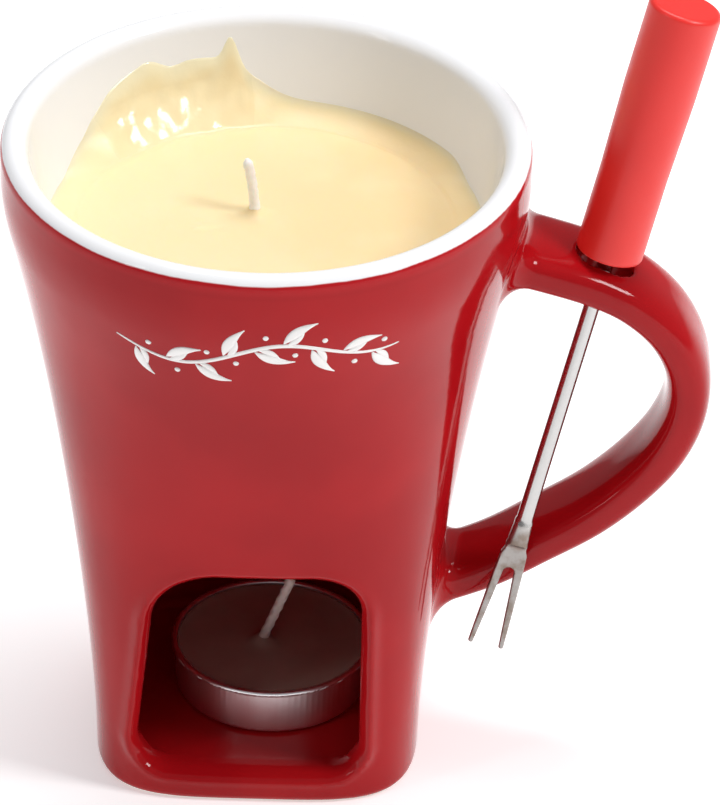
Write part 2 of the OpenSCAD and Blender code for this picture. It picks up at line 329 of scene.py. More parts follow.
def head_outline_field(x, z):
    """The fork head's flat outline, with z measured from the grip's lower end."""
    crotch = TINE_L - STEEL_L
    up = z + STEEL_L
    half = np.interp(up, HEAD_W_AT, HEAD_HALF_W)
    notch_r = NOTCH_R + NOTCH_WIDENS * np.maximum(crotch - z, 0)
    notch = np.where(z < crotch, np.abs(x) - notch_r, np.hypot(x, z - crotch) - NOTCH_R)
    plate = meet(np.abs(x) - half, -STEEL_L - z, TIP_ROUND)
    plate = np.maximum(plate, z - (HEAD_L + HEAD_PAST - STEEL_L))
    return meet(plate, -notch, HEAD_EDGE_ROUND)


def steel_field(x, y, z):
    """Round shank, forged flat into a two-tined head."""
    up = z + STEEL_L
    half_t = np.interp(up, HEAD_T_AT, HEAD_HALF_T)
    head = meet(head_outline_field(x, z), np.abs(y) - half_t, HEAD_EDGE_ROUND)
    shank = np.maximum(np.hypot(x, y) - SHANK_R, (HEAD_L - SHANK_IN_HEAD - STEEL_L) - z)
    shank = meet(shank, z - SHANK_IN_GRIP + SHANK_SHORT, SHANK_END_ROUND)
    return join(head, shank, HEAD_BLEND)


# --- Meshes --------------------------------------------------------------------------------------


def gradient(field, p, h=0.03):
    columns = []
    for k in range(3):
        step = np.zeros(3)
        step[k] = h
        ahead, back = p + step, p - step
        columns.append((field(*ahead.T) - field(*back.T)) / (2 * h))
    return np.stack(columns, 1)


def surface_net(field, low, high, step):
    """Quads round the zero level of a field, its vertices moved onto that level, and their normals."""
    axes = [np.arange(a, b + step, step) for a, b in zip(low, high)]
    values = field(*np.meshgrid(*axes, indexing="ij"))
    inside = values < 0
    cells = np.array(values.shape) - 1
    origin = np.array([a[0] for a in axes])
    total = np.zeros((cells.prod(), 3))
    count = np.zeros(cells.prod())
    quads = []
    for d in range(3):
        a, b = (d + 1) % 3, (d + 2) % 3
        first = tuple(slice(0, -1) if k == d else slice(1, -1) for k in range(3))
        second = tuple(slice(1, None) if k == d else slice(1, -1) for k in range(3))
        skipped = np.array([0 if k == d else 1 for k in range(3)])
        at = np.argwhere(inside[first] != inside[second]) + skipped
        past = at.copy()
        past[:, d] += 1
        v0, v1 = values[tuple(at.T)], values[tuple(past.T)]
        place = at.astype(float)
        place[:, d] += v0 / (v0 - v1)
        around = []
        for da, db in ((-1, -1), (0, -1), (0, 0), (-1, 0)):
            cell = at.copy()
            cell[:, a] += da
            cell[:, b] += db
            index = np.ravel_multi_index(cell.T, cells)
            around.append(index)
            for k in range(3):
                total[:, k] += np.bincount(index, place[:, k], len(total))
            count += np.bincount(index, minlength=len(total))
        quad = np.stack(around, 1)
        quads.append(np.where((v0 < 0)[:, None], quad, quad[:, ::-1]))
    quads = np.vstack(quads)
    used, faces = np.unique(quads, return_inverse=True)
    points = origin + step * total[used] / count[used][:, None]
    for _ in range(4):
        slope = gradient(field, points)
        move = field(*points.T)[:, None] * slope / np.maximum((slope**2).sum(1), 0.2)[:, None]
        points -= np.clip(move, -step, step)
    return points, faces.reshape(-1, 4), gradient(field, points)


def skin(rings, start, end):
    """Vertices and faces of a closed skin over rings with equal numbers of points."""
    rings = np.asarray(rings, float)
    count, sides = rings.shape[:2]
    i = np.arange(sides)
    j = (i + 1) % sides
    faces = []
    for k in range(count - 1):
        a = k * sides
        faces += np.stack([a + i, a + j, a + sides + j, a + sides + i], 1).tolist()
    first, top = count * sides, (count - 1) * sides
    faces += [[first, b, a] for a, b in zip(i, j)]
    faces += [[first + 1, top + a, top + b] for a, b in zip(i, j)]
    return np.vstack([rings.reshape(-1, 3), [start], [end]]), faces


def rounded(corners, steps=5, hold=0.3):
    """(radius, height) points along a half section whose corners are given as (r, z, rounding)."""
    points = []
    for k, (r, z, round_r) in enumerate(corners):
        here = np.array([r, z], float)
        if round_r == 0:
            points.append(here)
            continue
        back = np.array(corners[k - 1][:2]) - here
        ahead = np.array(corners[k + 1][:2]) - here
        back, ahead = back / np.linalg.norm(back), ahead / np.linalg.norm(ahead)
        half = math.acos(np.clip(back @ ahead, -1, 1)) / 2
        reach = round_r / math.tan(half)
        centre = here + (back + ahead) / np.linalg.norm(back + ahead) * round_r / math.sin(half)
        arm0, arm1 = here + back * reach - centre, here + ahead * reach - centre
        turn = math.pi - 2 * half
        points.append(here + back * (reach + hold))
        for s in range(steps + 1):
            w0, w1 = math.sin((1 - s / steps) * turn), math.sin(s / steps * turn)
            points.append(centre + (arm0 * w0 + arm1 * w1) / math.sin(turn))
        points.append(here + ahead * (reach + hold))
    return np.array(points)


def lathe(profile, sides, wave=None):
    """A closed turned shape. The profile starts and ends on the axis."""
    angle = np.linspace(0, 2 * math.pi, sides, endpoint=False)
    rings = []
    for r, z in profile[1:-1]:
        radius = r + (wave(r, z, angle) if wave else 0)
        rings.append(np.stack([radius * np.cos(angle), radius * np.sin(angle), np.full(sides, z)], 1))
    return skin(rings, [0, 0, profile[0][1]], [0, 0, profile[-1][1]])


def add_piece(name, points, faces, body, material, nodes, normals=None, place=None):
    """Makes a smooth mesh, in millimetres, that rides a body and stands for CAD nodes."""
    mesh = bpy.data.meshes.new(name)
    mesh.from_pydata((np.asarray(points) * MM).tolist(), [], [list(map(int, f)) for f in faces])
    mesh.validate()
    mesh.shade_smooth()
    if normals is not None:
        unit = normals / np.maximum(np.linalg.norm(normals, axis=1), 1e-9)[:, None]
        mesh.normals_split_custom_set_from_vertices(unit.tolist())
    mesh.materials.append(material)
    piece = bpy.data.objects.new(name, mesh)
    bpy.context.scene.collection.objects.link(piece)
    if place is not None:
        piece.matrix_world = place
    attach(piece, body)
    if nodes:
        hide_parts(*nodes)
    return piece


# --- Materials -----------------------------------------------------------------------------------


class Shader:
    """A procedural material on one Principled shader, with short ways to add and link nodes."""

    def __init__(self, name, **constants):
        self.material = bpy.data.materials.new(name)
        self.material.use_nodes = True
        self.tree = self.material.node_tree
        self.surface = next(n for n in self.tree.nodes if n.type == "BSDF_PRINCIPLED")
        self.place = self.add("ShaderNodeTexCoord").outputs["Object"]
        for socket, value in constants.items():
            self.surface.inputs[socket.replace("_", " ")].default_value = value

    def add(self, kind, inputs=(), **settings):
        node = self.tree.nodes.new(kind)
        for key, value in settings.items():
            setattr(node, key, value)
        for key, value in dict(inputs).items():
            self.put(node.inputs[key], value)
        return node

    def put(self, socket, value):
        if isinstance(value, bpy.types.NodeSocket):
            self.tree.links.new(value, socket)
        else:
            socket.default_value = value

    def math(self, operation, a, b=0.0, c=0.0):
        return self.add("ShaderNodeMath", {0: a, 1: b, 2: c}, operation=operation).outputs[0]

    def step(self, value, low, high):
        """0 below low and 1 above high, smooth between."""
        inputs = {"Value": value, "From Min": low, "From Max": high}
        return self.add("ShaderNodeMapRange", inputs, interpolation_type="SMOOTHSTEP").outputs[0]

    def mix(self, share, a, b):
        return self.add("ShaderNodeMix", {0: share, 6: a, 7: b}, data_type="RGBA").outputs[2]

    def noise(self, scale, detail=2.0, rough=0.5, stretch=None):
        place = self.place
        if stretch:
            place = self.add("ShaderNodeMapping", {"Vector": place, "Scale": stretch}).outputs[0]
        inputs = {"Vector": place, "Scale": scale, "Detail": detail, "Roughness": rough}
        return self.add("ShaderNodeTexNoise", inputs).outputs["Fac"]

    def axes(self):
        return self.add("ShaderNodeSeparateXYZ", {0: self.place}).outputs

    def bump(self, height, distance, strength=1.0):
        """height runs from 0 to 1 and stands for a relief of that distance, in metres."""
        inputs = {"Height": height, "Distance": distance, "Strength": strength}
        old = self.surface.inputs["Normal"]
        if old.is_linked:
            inputs["Normal"] = old.links[0].from_socket
        self.put(old, self.add("ShaderNodeBump", inputs).outputs[0])

    def set(self, **inputs):
        for socket, value in inputs.items():
            self.put(self.surface.inputs[socket.replace("_", " ")], value)
        return self.material


RED = (0.42, 0.007, 0.010, 1)
RED_DEEP = (0.35, 0.004, 0.007, 1)
# The lighter red of the painted highlight on the lip's rounding.
RED_PAINTED_HIGHLIGHT = (0.52, 0.014, 0.020, 1)
WHITE_GLAZE = (0.87, 0.87, 0.88, 1)
BARE_CLAY = (0.55, 0.47, 0.38, 1)
# Heights, in millimetres below the lip's top, of the band of painted highlight, of the line of painted
# shade under it and of the white.
HIGHLIGHT_FROM_TOP = (3.6, 1.8)
LINE_FROM_TOP = 3.8
WHITE_FROM_TOP = (1.4, 1.1)
# The bowl's white reaches this far past its wall, and starts this far below its floor.
WHITE_PAST_BOWL = 2.75
WHITE_UNDER_BOWL = 2.5


def red_glaze(name, with_bowl):
    """Deep red glaze, a little lighter in a band of painted highlight round the lip's rounding; the mug's
    bowl and lip are white.
    """
    s = Shader(name, IOR=1.5, Specular_IOR_Level=0.2)
    x, y, z = s.axes()
    colour = s.mix(s.step(s.noise(28, 3), 0.35, 0.7), RED_DEEP, RED)
    rough = s.math("MULTIPLY_ADD", s.noise(90, 2), 0.05, 0.055)
    if with_bowl:
        radius = s.math("SQRT", s.math("ADD", s.math("POWER", x, 2.0), s.math("POWER", y, 2.0)))
        # Painted highlight: a lighter red band on the lip's outer rounding.
        band = s.step(z, *((MUG_H - below) * MM for below in HIGHLIGHT_FROM_TOP))
        colour = s.mix(s.math("MULTIPLY", band, 0.5), colour, RED_PAINTED_HIGHLIGHT)
        from_line = s.math("ABSOLUTE", s.math("SUBTRACT", z, (MUG_H - LINE_FROM_TOP) * MM))
        shade = s.math("SUBTRACT", 1.0, s.step(from_line, 0.0001, 0.0008))
        colour = s.mix(s.math("MULTIPLY", shade, 0.35), colour, RED_DEEP)
        edge_foot = (BOWL_FLOOR_R + WHITE_PAST_BOWL - BOWL_SLOPE * BOWL_FLOOR) * MM
        edge = s.math("MULTIPLY_ADD", z, BOWL_SLOPE, edge_foot)
        edge = s.math("MULTIPLY_ADD", s.math("SUBTRACT", s.noise(160, 2), 0.5), 0.0007, edge)
        white = s.math("SUBTRACT", 1.0, s.step(s.math("SUBTRACT", radius, edge), -0.0002, 0.00025))
        above_floor = s.math("GREATER_THAN", z, (BOWL_FLOOR - WHITE_UNDER_BOWL) * MM)
        white = s.math("MULTIPLY", white, above_floor)
        lip_edge = s.math("MULTIPLY_ADD", s.math("SUBTRACT", s.noise(70, 2), 0.5), 0.0006, z)
        lip = s.step(lip_edge, *((MUG_H - below) * MM for below in WHITE_FROM_TOP))
        white = s.math("MAXIMUM", white, lip)
        colour = s.mix(white, colour, WHITE_GLAZE)
        bare = s.math("LESS_THAN", z, 0.00025)
        colour = s.mix(bare, colour, BARE_CLAY)
        rough = s.math("ADD", rough, s.math("MULTIPLY", bare, 0.5))
    s.bump(s.noise(55, 1), 0.00035, 0.35)
    s.bump(s.noise(420, 2), 0.00004, 0.4)
    return s.set(Base_Color=colour, Roughness=rough)


def white_glaze():
    s = Shader("white_glaze", IOR=1.5, Coat_Weight=0.2, Coat_Roughness=0.05)
    s.bump(s.noise(900, 2), 0.00003, 0.6)
    colour = s.mix(s.noise(240, 2), (0.84, 0.81, 0.79, 1), (0.95, 0.93, 0.91, 1))
    return s.set(Base_Color=colour, Roughness=s.math("MULTIPLY_ADD", s.noise(300), 0.1, 0.18))


def poured_wax():
    """Pale yellow wax, clearer and glossier where it is a thin film on the bowl's wall."""
    s = Shader("poured_wax", Subsurface_Scale=0.004, IOR=1.44, Subsurface_Radius=(1.0, 0.75, 0.35))
    x, _, z = s.axes()
    thin = s.add("ShaderNodeAttribute", attribute_name="thin").outputs["Fac"]
    gloss = s.add("ShaderNodeAttribute", attribute_name="gloss").outputs["Fac"]
    # Painted shade: the wax turns darker and deeper yellow towards +X and is paler towards -X.
    across = s.step(x, -0.03, 0.034)
    colour = s.mix(across, (0.86, 0.72, 0.43, 1), (0.84, 0.63, 0.34, 1))
    patches = s.math("MULTIPLY", s.step(s.noise(45, 3), 0.45, 0.75), 0.35)
    colour = s.mix(patches, colour, (0.89, 0.77, 0.50, 1))
    colour = s.mix(s.math("MULTIPLY", thin, 0.8), colour, (0.88, 0.82, 0.58, 1))
    rough = s.math("MULTIPLY_ADD", gloss, -0.26, s.math("MULTIPLY_ADD", s.noise(120, 3), 0.14, 0.33))
    scatter = s.math("MULTIPLY_ADD", s.math("MAXIMUM", thin, gloss), -0.42, 0.45)
    s.bump(s.noise(130, 3, 0.55), 0.0003, 0.3)
    s.bump(s.noise(380, 2), 0.0002, s.math("MULTIPLY", gloss, 0.3))
    s.bump(s.noise(900, 2), 0.00004, 0.4)
    return s.set(Base_Color=colour, Roughness=rough, Subsurface_Weight=scatter)


def tealight_wax_material():
    s = Shader("tealight_wax", Subsurface_Weight=0.3, Subsurface_Scale=0.003, IOR=1.44,
               Subsurface_Radius=(1.0, 0.8, 0.6))
    colour = s.mix(s.noise(140, 3), (0.36, 0.25, 0.20, 1), (0.46, 0.34, 0.28, 1))
    s.bump(s.noise(260, 3), 0.0002, 0.4)
    return s.set(Base_Color=colour, Roughness=s.math("MULTIPLY_ADD", s.noise(200), 0.2, 0.3))


def cotton(name, colour):
    s = Shader(name, Subsurface_Weight=0.2, Subsurface_Scale=0.001, Sheen_Weight=0.15)
    tone = s.mix(s.noise(1200, 3), tuple(0.86 * c for c in colour[:3]) + (1,), colour)
    s.bump(s.noise(2600, 3), 0.00008, 0.7)
    return s.set(Base_Color=tone, Roughness=s.math("MULTIPLY_ADD", s.noise(700), 0.2, 0.45))


def metal(name, light, dark, rough, stretch, scale=60.0, relief=0.00002):
    s = Shader(name, Metallic=1.0)
    streaks = s.noise(scale, 4, 0.6, stretch)
    s.bump(streaks, relief, 0.6)
    colour = s.mix(streaks, dark, light)
    return s.set(Base_Color=colour, Roughness=s.math("MULTIPLY_ADD", streaks, 0.18, rough))


def fork_metal():
    """Polished shank; the forged head is duller, with brown stains from use over a flame."""
    s = Shader("fork_steel", Metallic=1.0)
    z = s.axes()[2]
    head = s.math("SUBTRACT", 1.0, s.step(z, (HEAD_L - STEEL_L) * MM, (HEAD_L - STEEL_L + 6) * MM))
    drawn = s.noise(140, 4, 0.6, (1, 1, 0.04))
    stain = s.math("MULTIPLY", s.step(s.noise(230, 4, 0.6), 0.42, 0.68), head)
    colour = s.mix(drawn, (0.40, 0.39, 0.38, 1), (0.62, 0.61, 0.60, 1))
    colour = s.mix(s.math("MULTIPLY", head, 0.55), colour, (0.26, 0.23, 0.21, 1))
    colour = s.mix(s.math("MULTIPLY", stain, 0.7), colour, (0.18, 0.12, 0.08, 1))
    rough = s.math("MULTIPLY_ADD", head, 0.22, s.math("MULTIPLY_ADD", drawn, 0.1, 0.12))
    s.bump(drawn, 0.00003, 0.5)
    s.bump(s.noise(600, 3), 0.00005, 0.35)
    return s.set(Base_Color=colour, Roughness=rough)


def grip_plastic():
    s = Shader("grip_plastic", IOR=1.5, Subsurface_Weight=0.08, Subsurface_Scale=0.002, Coat_Weight=0.1,
               Coat_Roughness=0.25)
    colour = s.mix(s.noise(60, 3), (0.78, 0.022, 0.016, 1), (0.86, 0.030, 0.022, 1))
    s.bump(s.noise(1500, 2), 0.00003, 0.5)
    return s.set(Base_Color=colour, Roughness=s.math("MULTIPLY_ADD", s.noise(180, 3), 0.12, 0.34))


GLAZE = red_glaze("red_and_white_glaze", True)
HANDLE_GLAZE = red_glaze("red_glaze", False)


# --- Stoneware -----------------------------------------------------------------------------------

MUG_STEP = 0.9
HANDLE_STEP = 0.8
HANDLE_LOW = (25.0, -17.0, 20.0)
HANDLE_HIGH = (87.0, 17.0, 121.0)
# A face of the handle is kept if any corner stands this proud of the mug.
PROUD = 0.0015
# The handle's open rim is then sunk this deep into the mug and closed.
RIM_SUNK = 1.3
# The mug's field is sampled this far past its sides, foot and lip.
MARGIN = 1.5


def make_mug():
    reach = LIP_R + MARGIN
    low = (-reach, -reach, -MARGIN)
    high = (reach, reach, MUG_H + MARGIN)
    points, faces, normals = surface_net(mug_field, low, high, MUG_STEP)
    add_piece("mug_body_glazed", points, faces, "mug", GLAZE, ["mug_body"], normals)


def outside_slope(point):
    slope = gradient(outside_field, np.array([point], float))[0]
    return slope / np.linalg.norm(slope)


def in_fixed_order(points, faces, first_points, first_faces):
    """Sorts the points and faces after the first ones, since bmesh may add them in any order."""
    order = np.concatenate([np.arange(first_points), first_points + np.lexsort(points[first_points:].T)])
    rank = np.argsort(order)
    added = sorted([int(rank[i]) for i in face] for face in faces[first_faces:])
    return points[order], faces[:first_faces] + added


def make_handle():
    """The strap and its fillets, down to where they run out on the mug's side."""
    points, faces, _ = surface_net(handle_field, HANDLE_LOW, HANDLE_HIGH, HANDLE_STEP)
    proud = outside_field(*points.T) > PROUD
    faces = faces[proud[faces].any(1)]
    used, faces = np.unique(faces, return_inverse=True)
    points, faces = points[used], faces.reshape(-1, 4)
    mesh = bmesh.new()
    verts = [mesh.verts.new(p) for p in points]
    for face in faces:
        mesh.faces.new([verts[i] for i in face])
    rim = [e for e in mesh.edges if e.is_boundary]
    mesh.verts.index_update()
    made = bmesh.ops.extrude_edge_only(mesh, edges=rim)["geom"]
    inner = [v for v in made if isinstance(v, bmesh.types.BMVert)]
    sunk = [e for e in made if isinstance(e, bmesh.types.BMEdge)]
    for v in inner:
        v.co -= Vector(outside_slope(v.co)) * RIM_SUNK
    loops = bmesh.ops.holes_fill(mesh, edges=[e for e in sunk if e.is_boundary], sides=0)["faces"]
    bmesh.ops.poke(mesh, faces=loops)
    mesh.verts.index_update()
    mesh.verts.ensure_lookup_table()
    all_points = np.array([v.co for v in mesh.verts])
    all_faces = [[v.index for v in f.verts] for f in mesh.faces]
    mesh.free()
    all_points, all_faces = in_fixed_order(all_points, all_faces, len(points), len(faces))
    all_normals = gradient(handle_field, all_points)
    add_piece("mug_handle_glazed", all_points, all_faces, "mug", HANDLE_GLAZE, ["mug_handle"],
              all_normals)


# --- Ornament on the front -----------------------------------------------------------------------

STROKE_LIFT = 0.28
# The vine's stem: its middle height, its rise across the front and its wave.
STEM_Z = 113.4
STEM_RISE = 0.055
STEM_WAVE = 2.5
STEM_PITCH = 5.9
STEM_PHASE = 0.9
STEM_ENDS = (-26.0, 25.5)
LEAF_ENDS = (-22.5, 20.5)
LEAF_COUNT = 9
DOT_R = 0.55


def front_place(x, z):
    """The point on the mug's front at that x and height, and the outward direction there."""
    n = 2 + (FOOT_SQUARENESS - 2) * (1 - smooth(z / ROUND_Z))
    y = -(np.maximum(half_w(z) ** n - np.abs(x) ** n, 1)) ** (1 / n)
    points = np.stack([x, y, z], 1)
    out = gradient(side_field, points)
    return points, out / np.linalg.norm(out, axis=1)[:, None]


def stroke(line, widths):
    """A raised brush stroke along (x, z) points on the front, as wide as widths at each."""
    points, out = front_place(line[:, 0], line[:, 1])
    along = np.gradient(points, axis=0)
    along /= np.linalg.norm(along, axis=1)[:, None]
    across = np.cross(along, out)
    angle = np.linspace(0, 2 * math.pi, 10, endpoint=False)
    rings = []
    for p, a, o, w in zip(points, across, out, widths):
        lift = np.where(np.sin(angle) > 0, STROKE_LIFT * min(1, w / 0.5), 0.25)
        rings.append(p + np.outer(np.cos(angle) * w, a) + np.outer(np.sin(angle) * lift, o))
    return skin(rings, points[0], points[-1])


def leaf(at, heading, length, bend, width):
    """A leaf drawn as one swelling stroke that curves as it runs."""
    t = np.linspace(0, 1, 14)
    turn = heading + bend * t
    step = length / len(t)
    line = np.array(at) + np.cumsum(np.stack([np.cos(turn), np.sin(turn)], 1), axis=0) * step
    return stroke(line, 0.12 + width * np.sin(math.pi * t**0.8) ** 1.4)


def stem_height(x):
    return STEM_Z + STEM_RISE * x + STEM_WAVE * np.sin(x / STEM_PITCH + STEM_PHASE)


def make_ornament():
    """A running vine with leaves and dots in raised white glaze."""
    shapes = []
    x = np.linspace(*STEM_ENDS, 96)
    t = (x - x[0]) / (x[-1] - x[0])
    shapes.append(stroke(np.stack([x, stem_height(x)], 1), 0.14 + 0.32 * np.sin(math.pi * t) ** 0.6))
    across_dot = np.linspace(-1, 1, 7)
    dot_widths = DOT_R * np.sqrt(np.maximum(1 - across_dot**2, 0.02))
    for k, x0 in enumerate(np.linspace(*LEAF_ENDS, LEAF_COUNT)):
        side = 1 if k % 2 else -1
        size = 8.6 - 0.25 * abs(k - LEAF_COUNT // 2)
        slope = math.atan(STEM_WAVE / STEM_PITCH * math.cos(x0 / STEM_PITCH + STEM_PHASE))
        shapes.append(leaf((x0, stem_height(x0)), slope + side * 1.05, size, -side * 0.75, 0.95))
        small_at = (x0 + 0.5, stem_height(x0 + 0.5))
        shapes.append(leaf(small_at, slope + side * 0.35, size * 0.62, side * 0.9, 0.55))
        dot_at = np.array([x0 + 2.4, stem_height(x0 + 2.4) - side * 2.3])
        dot = np.stack([np.linspace(-DOT_R, DOT_R, 7), np.zeros(7)], 1) + dot_at
        shapes.append(stroke(dot, dot_widths))
    points, faces = [], []
    for p, f in shapes:
        start = sum(len(q) for q in points)
        points.append(p)
        faces += [[start + i for i in face] for face in f]
    add_piece("front_ornament", np.vstack(points), faces, "mug", white_glaze(), [])


# --- Wax and wicks -------------------------------------------------------------------------------

WICK_R = 1.0
wick_low, wick_high = cad_box("bowl_wick")
WICK_FOOT = (wick_high[0] - WICK_R, (wick_low[1] + wick_high[1]) / 2)

# The splashed film on the bowl's wall: heights above the wax, and places in degrees round the bowl.
FILM_LEAST = 0.5
# It clings low on the wall between two places; each has the length over which that starts or ends.
FILM_CLINGS = 2.2
FILM_CLINGS_FROM = (20, 14)
FILM_CLINGS_TO = (150, 12)
# The broad splash.
FILM_H = 9.0
FILM_MIDDLE = 118.5
FILM_SPREAD = 26
# Each peak's height, middle and spread.
FILM_PEAKS = ((5.8, 100.5, 2.4), (1.3, 124, 4))
# Turns an angle round the bowl into a length along its wall.
WALL_R = 40
# The wax reaches this far into the wall, so that no gap shows.
WALL_OVERLAP = 0.15
# Inside about this radius the wax is level; outside, it curves up to the wall.
LEVEL_R = 36.7
# The small cone of wax that each wick draws up.
CONE_R = 1.7
BOWL_CONE_H = 2.1
TEALIGHT_CONE_H = 2.3


def lumps(x, y, scale, seed, count=7):
    """A smooth random height between about -1 and 1, from a few crossing waves."""
    source = np.random.default_rng(seed)
    total = 0.0
    for _ in range(count):
        heading, phase = source.uniform(0, 2 * math.pi, 2)
        pitch = scale * source.uniform(0.6, 1.7)
        along = x * math.cos(heading) + y * math.sin(heading)
        total = total + np.sin(along * 2 * math.pi / pitch + phase)
    return total / count * 1.6


def film_top(angle):
    """How high the wax clings to the wall above its surface, round the bowl."""
    turn = np.degrees(angle)

    def bump(middle, spread):
        off = (turn - middle + 180) % 360 - 180
        return np.exp(-((off / spread) ** 2))

    (start, start_l), (end, end_l) = FILM_CLINGS_FROM, FILM_CLINGS_TO
    clings = smooth((turn - start) / start_l) * (1 - smooth((turn - end) / end_l))
    broad = ((turn - FILM_MIDDLE) / FILM_SPREAD) ** 4
    top = FILM_LEAST + FILM_CLINGS * clings + FILM_H * np.exp(-broad)
    for height, middle, spread in FILM_PEAKS:
        top = top + height * bump(middle, spread)
    return top


def make_bowl_wax():
    sides = 420
    angle = np.linspace(0, 2 * math.pi, sides, endpoint=False)
    top = film_top(angle)
    splash = np.clip((top - 5) / 5, 0, 1)
    along = angle * WALL_R
    top = top + splash * 0.55 * lumps(along, 0 * angle, 5, 21)
    band = bowl_r(WAX_Z) - LEVEL_R
    rows, thin, gloss = [], [], []

    def ring(radius, z, thin_share, gloss_share):
        rows.append(np.stack([radius * np.cos(angle), radius * np.sin(angle), z + 0 * angle], 1))
        thin.append(thin_share + 0 * angle)
        gloss.append(gloss_share + 0 * angle)

    corner_r = BOWL_FLOOR_R + BOWL_SLOPE * BOWL_CORNER - BOWL_CORNER * math.hypot(1, BOWL_SLOPE)
    for depth_angle in np.linspace(80, 5, 8):
        a = math.radians(depth_angle)
        z = BOWL_FLOOR + BOWL_CORNER * (1 - math.sin(a))
        ring(corner_r + BOWL_CORNER * math.cos(a) + 0.05, z, 0, 0)
    for z in np.linspace(BOWL_FLOOR + BOWL_CORNER, WAX_Z, 6):
        ring(bowl_r(z) + WALL_OVERLAP, z, 0, 0)
    for t in np.linspace(0.06, 1, 12):
        z = WAX_Z + top * t
        ring(bowl_r(z) + WALL_OVERLAP, z, 0, 0)
    for t in np.linspace(1, 0, 46):
        z = WAX_Z + top * t
        low = np.clip((z - WAX_Z) / np.minimum(top, 7.5), 0, 1)
        coarse, fine = lumps(along, z, 7, 3), lumps(along, z, 2.8, 4)
        rough = 1 + splash * (0.4 * coarse + 0.12 * fine)
        film = (0.3 + 0.75 * splash) * np.sqrt(max(1 - t, 0)) * rough
        sag = band * (1 - low) ** 1.55
        edge = film + sag - WALL_OVERLAP * (t >= 1)
        thin_share = smooth((t - 0.55) / 0.45) * (0.5 + 0.5 * splash)
        ring(bowl_r(z) - edge, z, thin_share, np.maximum(splash, 0.25 * t))
    shore = np.hypot(rows[-1][:, 0], rows[-1][:, 1])
    for share in np.linspace(0.985, 0.02, 60):
        x, y = shore * share * np.cos(angle), shore * share * np.sin(angle)
        away = np.hypot(x - WICK_FOOT[0], y - WICK_FOOT[1])
        z = WAX_Z + BOWL_CONE_H * np.exp(-((away / CONE_R) ** 1.5)) + 0.07 * lumps(x, y, 16, 5)
        z = z - 0.35 * np.exp(-(((1 - share) * 36 / 1.1) ** 2)) * (0.6 + 0.4 * np.sin(angle))
        scuff = np.exp(-(((x + 13) / 7) ** 2 + ((y - 0.5 - 0.12 * x) / 1.6) ** 2))
        z = z + 0.22 * scuff * lumps(x, y, 4, 8)
        ring(shore * share, z, 0, 0)
    points, faces = skin(rows, [0, 0, BOWL_FLOOR], [0, 0, WAX_Z + 0.02])
    piece = add_piece("bowl_wax_poured", points, faces, "mug", poured_wax(), ["bowl_wax"])
    for name, rows_of in (("thin", thin), ("gloss", gloss)):
        values = np.concatenate([np.concatenate(rows_of), [0, 0]]).astype(np.float32)
        piece.data.attributes.new(name, "FLOAT", "POINT").data.foreach_set("value", values)


def make_wick(name, node, body, radius, lean, settle, free, foot, wax_top, material):
    """A braided wick that stands in its wax and, over a length of settle, leans along X."""
    low = cad_box(node)[0][2]
    s = np.linspace(0, 1, 70)
    buried = wax_top - low
    length = s * (buried + free)
    over = np.clip(length - buried, 0, None)
    tilt = lean * np.clip(over / settle, 0, 1) ** 0.7
    path = np.zeros((len(s), 3))
    path[0] = (foot[0], foot[1], low)
    for k in range(1, len(s)):
        step = length[k] - length[k - 1]
        path[k] = path[k - 1] + step * np.array([math.sin(tilt[k]), 0, math.cos(tilt[k])])
    angle = np.linspace(0, 2 * math.pi, 24, endpoint=False)
    rings = []
    for k, p in enumerate(path):
        braid = 1 + 0.07 * np.cos(3 * angle - length[k] * 2.6) + 0.05 * np.cos(2 * angle + length[k] * 3.1)
        coat = 1 + 0.35 * math.exp(-(((over[k]) / 1.3) ** 2))
        tip = math.sqrt(max(1 - max(over[k] - free + radius * 0.7, 0) ** 2 / (radius * 0.75) ** 2, 0.05))
        r = radius * braid * coat * tip * 0.95
        across = np.array([math.cos(tilt[k]), 0, -math.sin(tilt[k])])
        rings.append(p + np.outer(r * np.cos(angle), across) + np.outer(r * np.sin(angle), [0, 1, 0]))
    points, faces = skin(rings, path[0], path[-1] + 0.1 * (path[-1] - path[-2]))
    add_piece(name, points, faces, body, material, [node])


# --- Tealight ------------------------------------------------------------------------------------


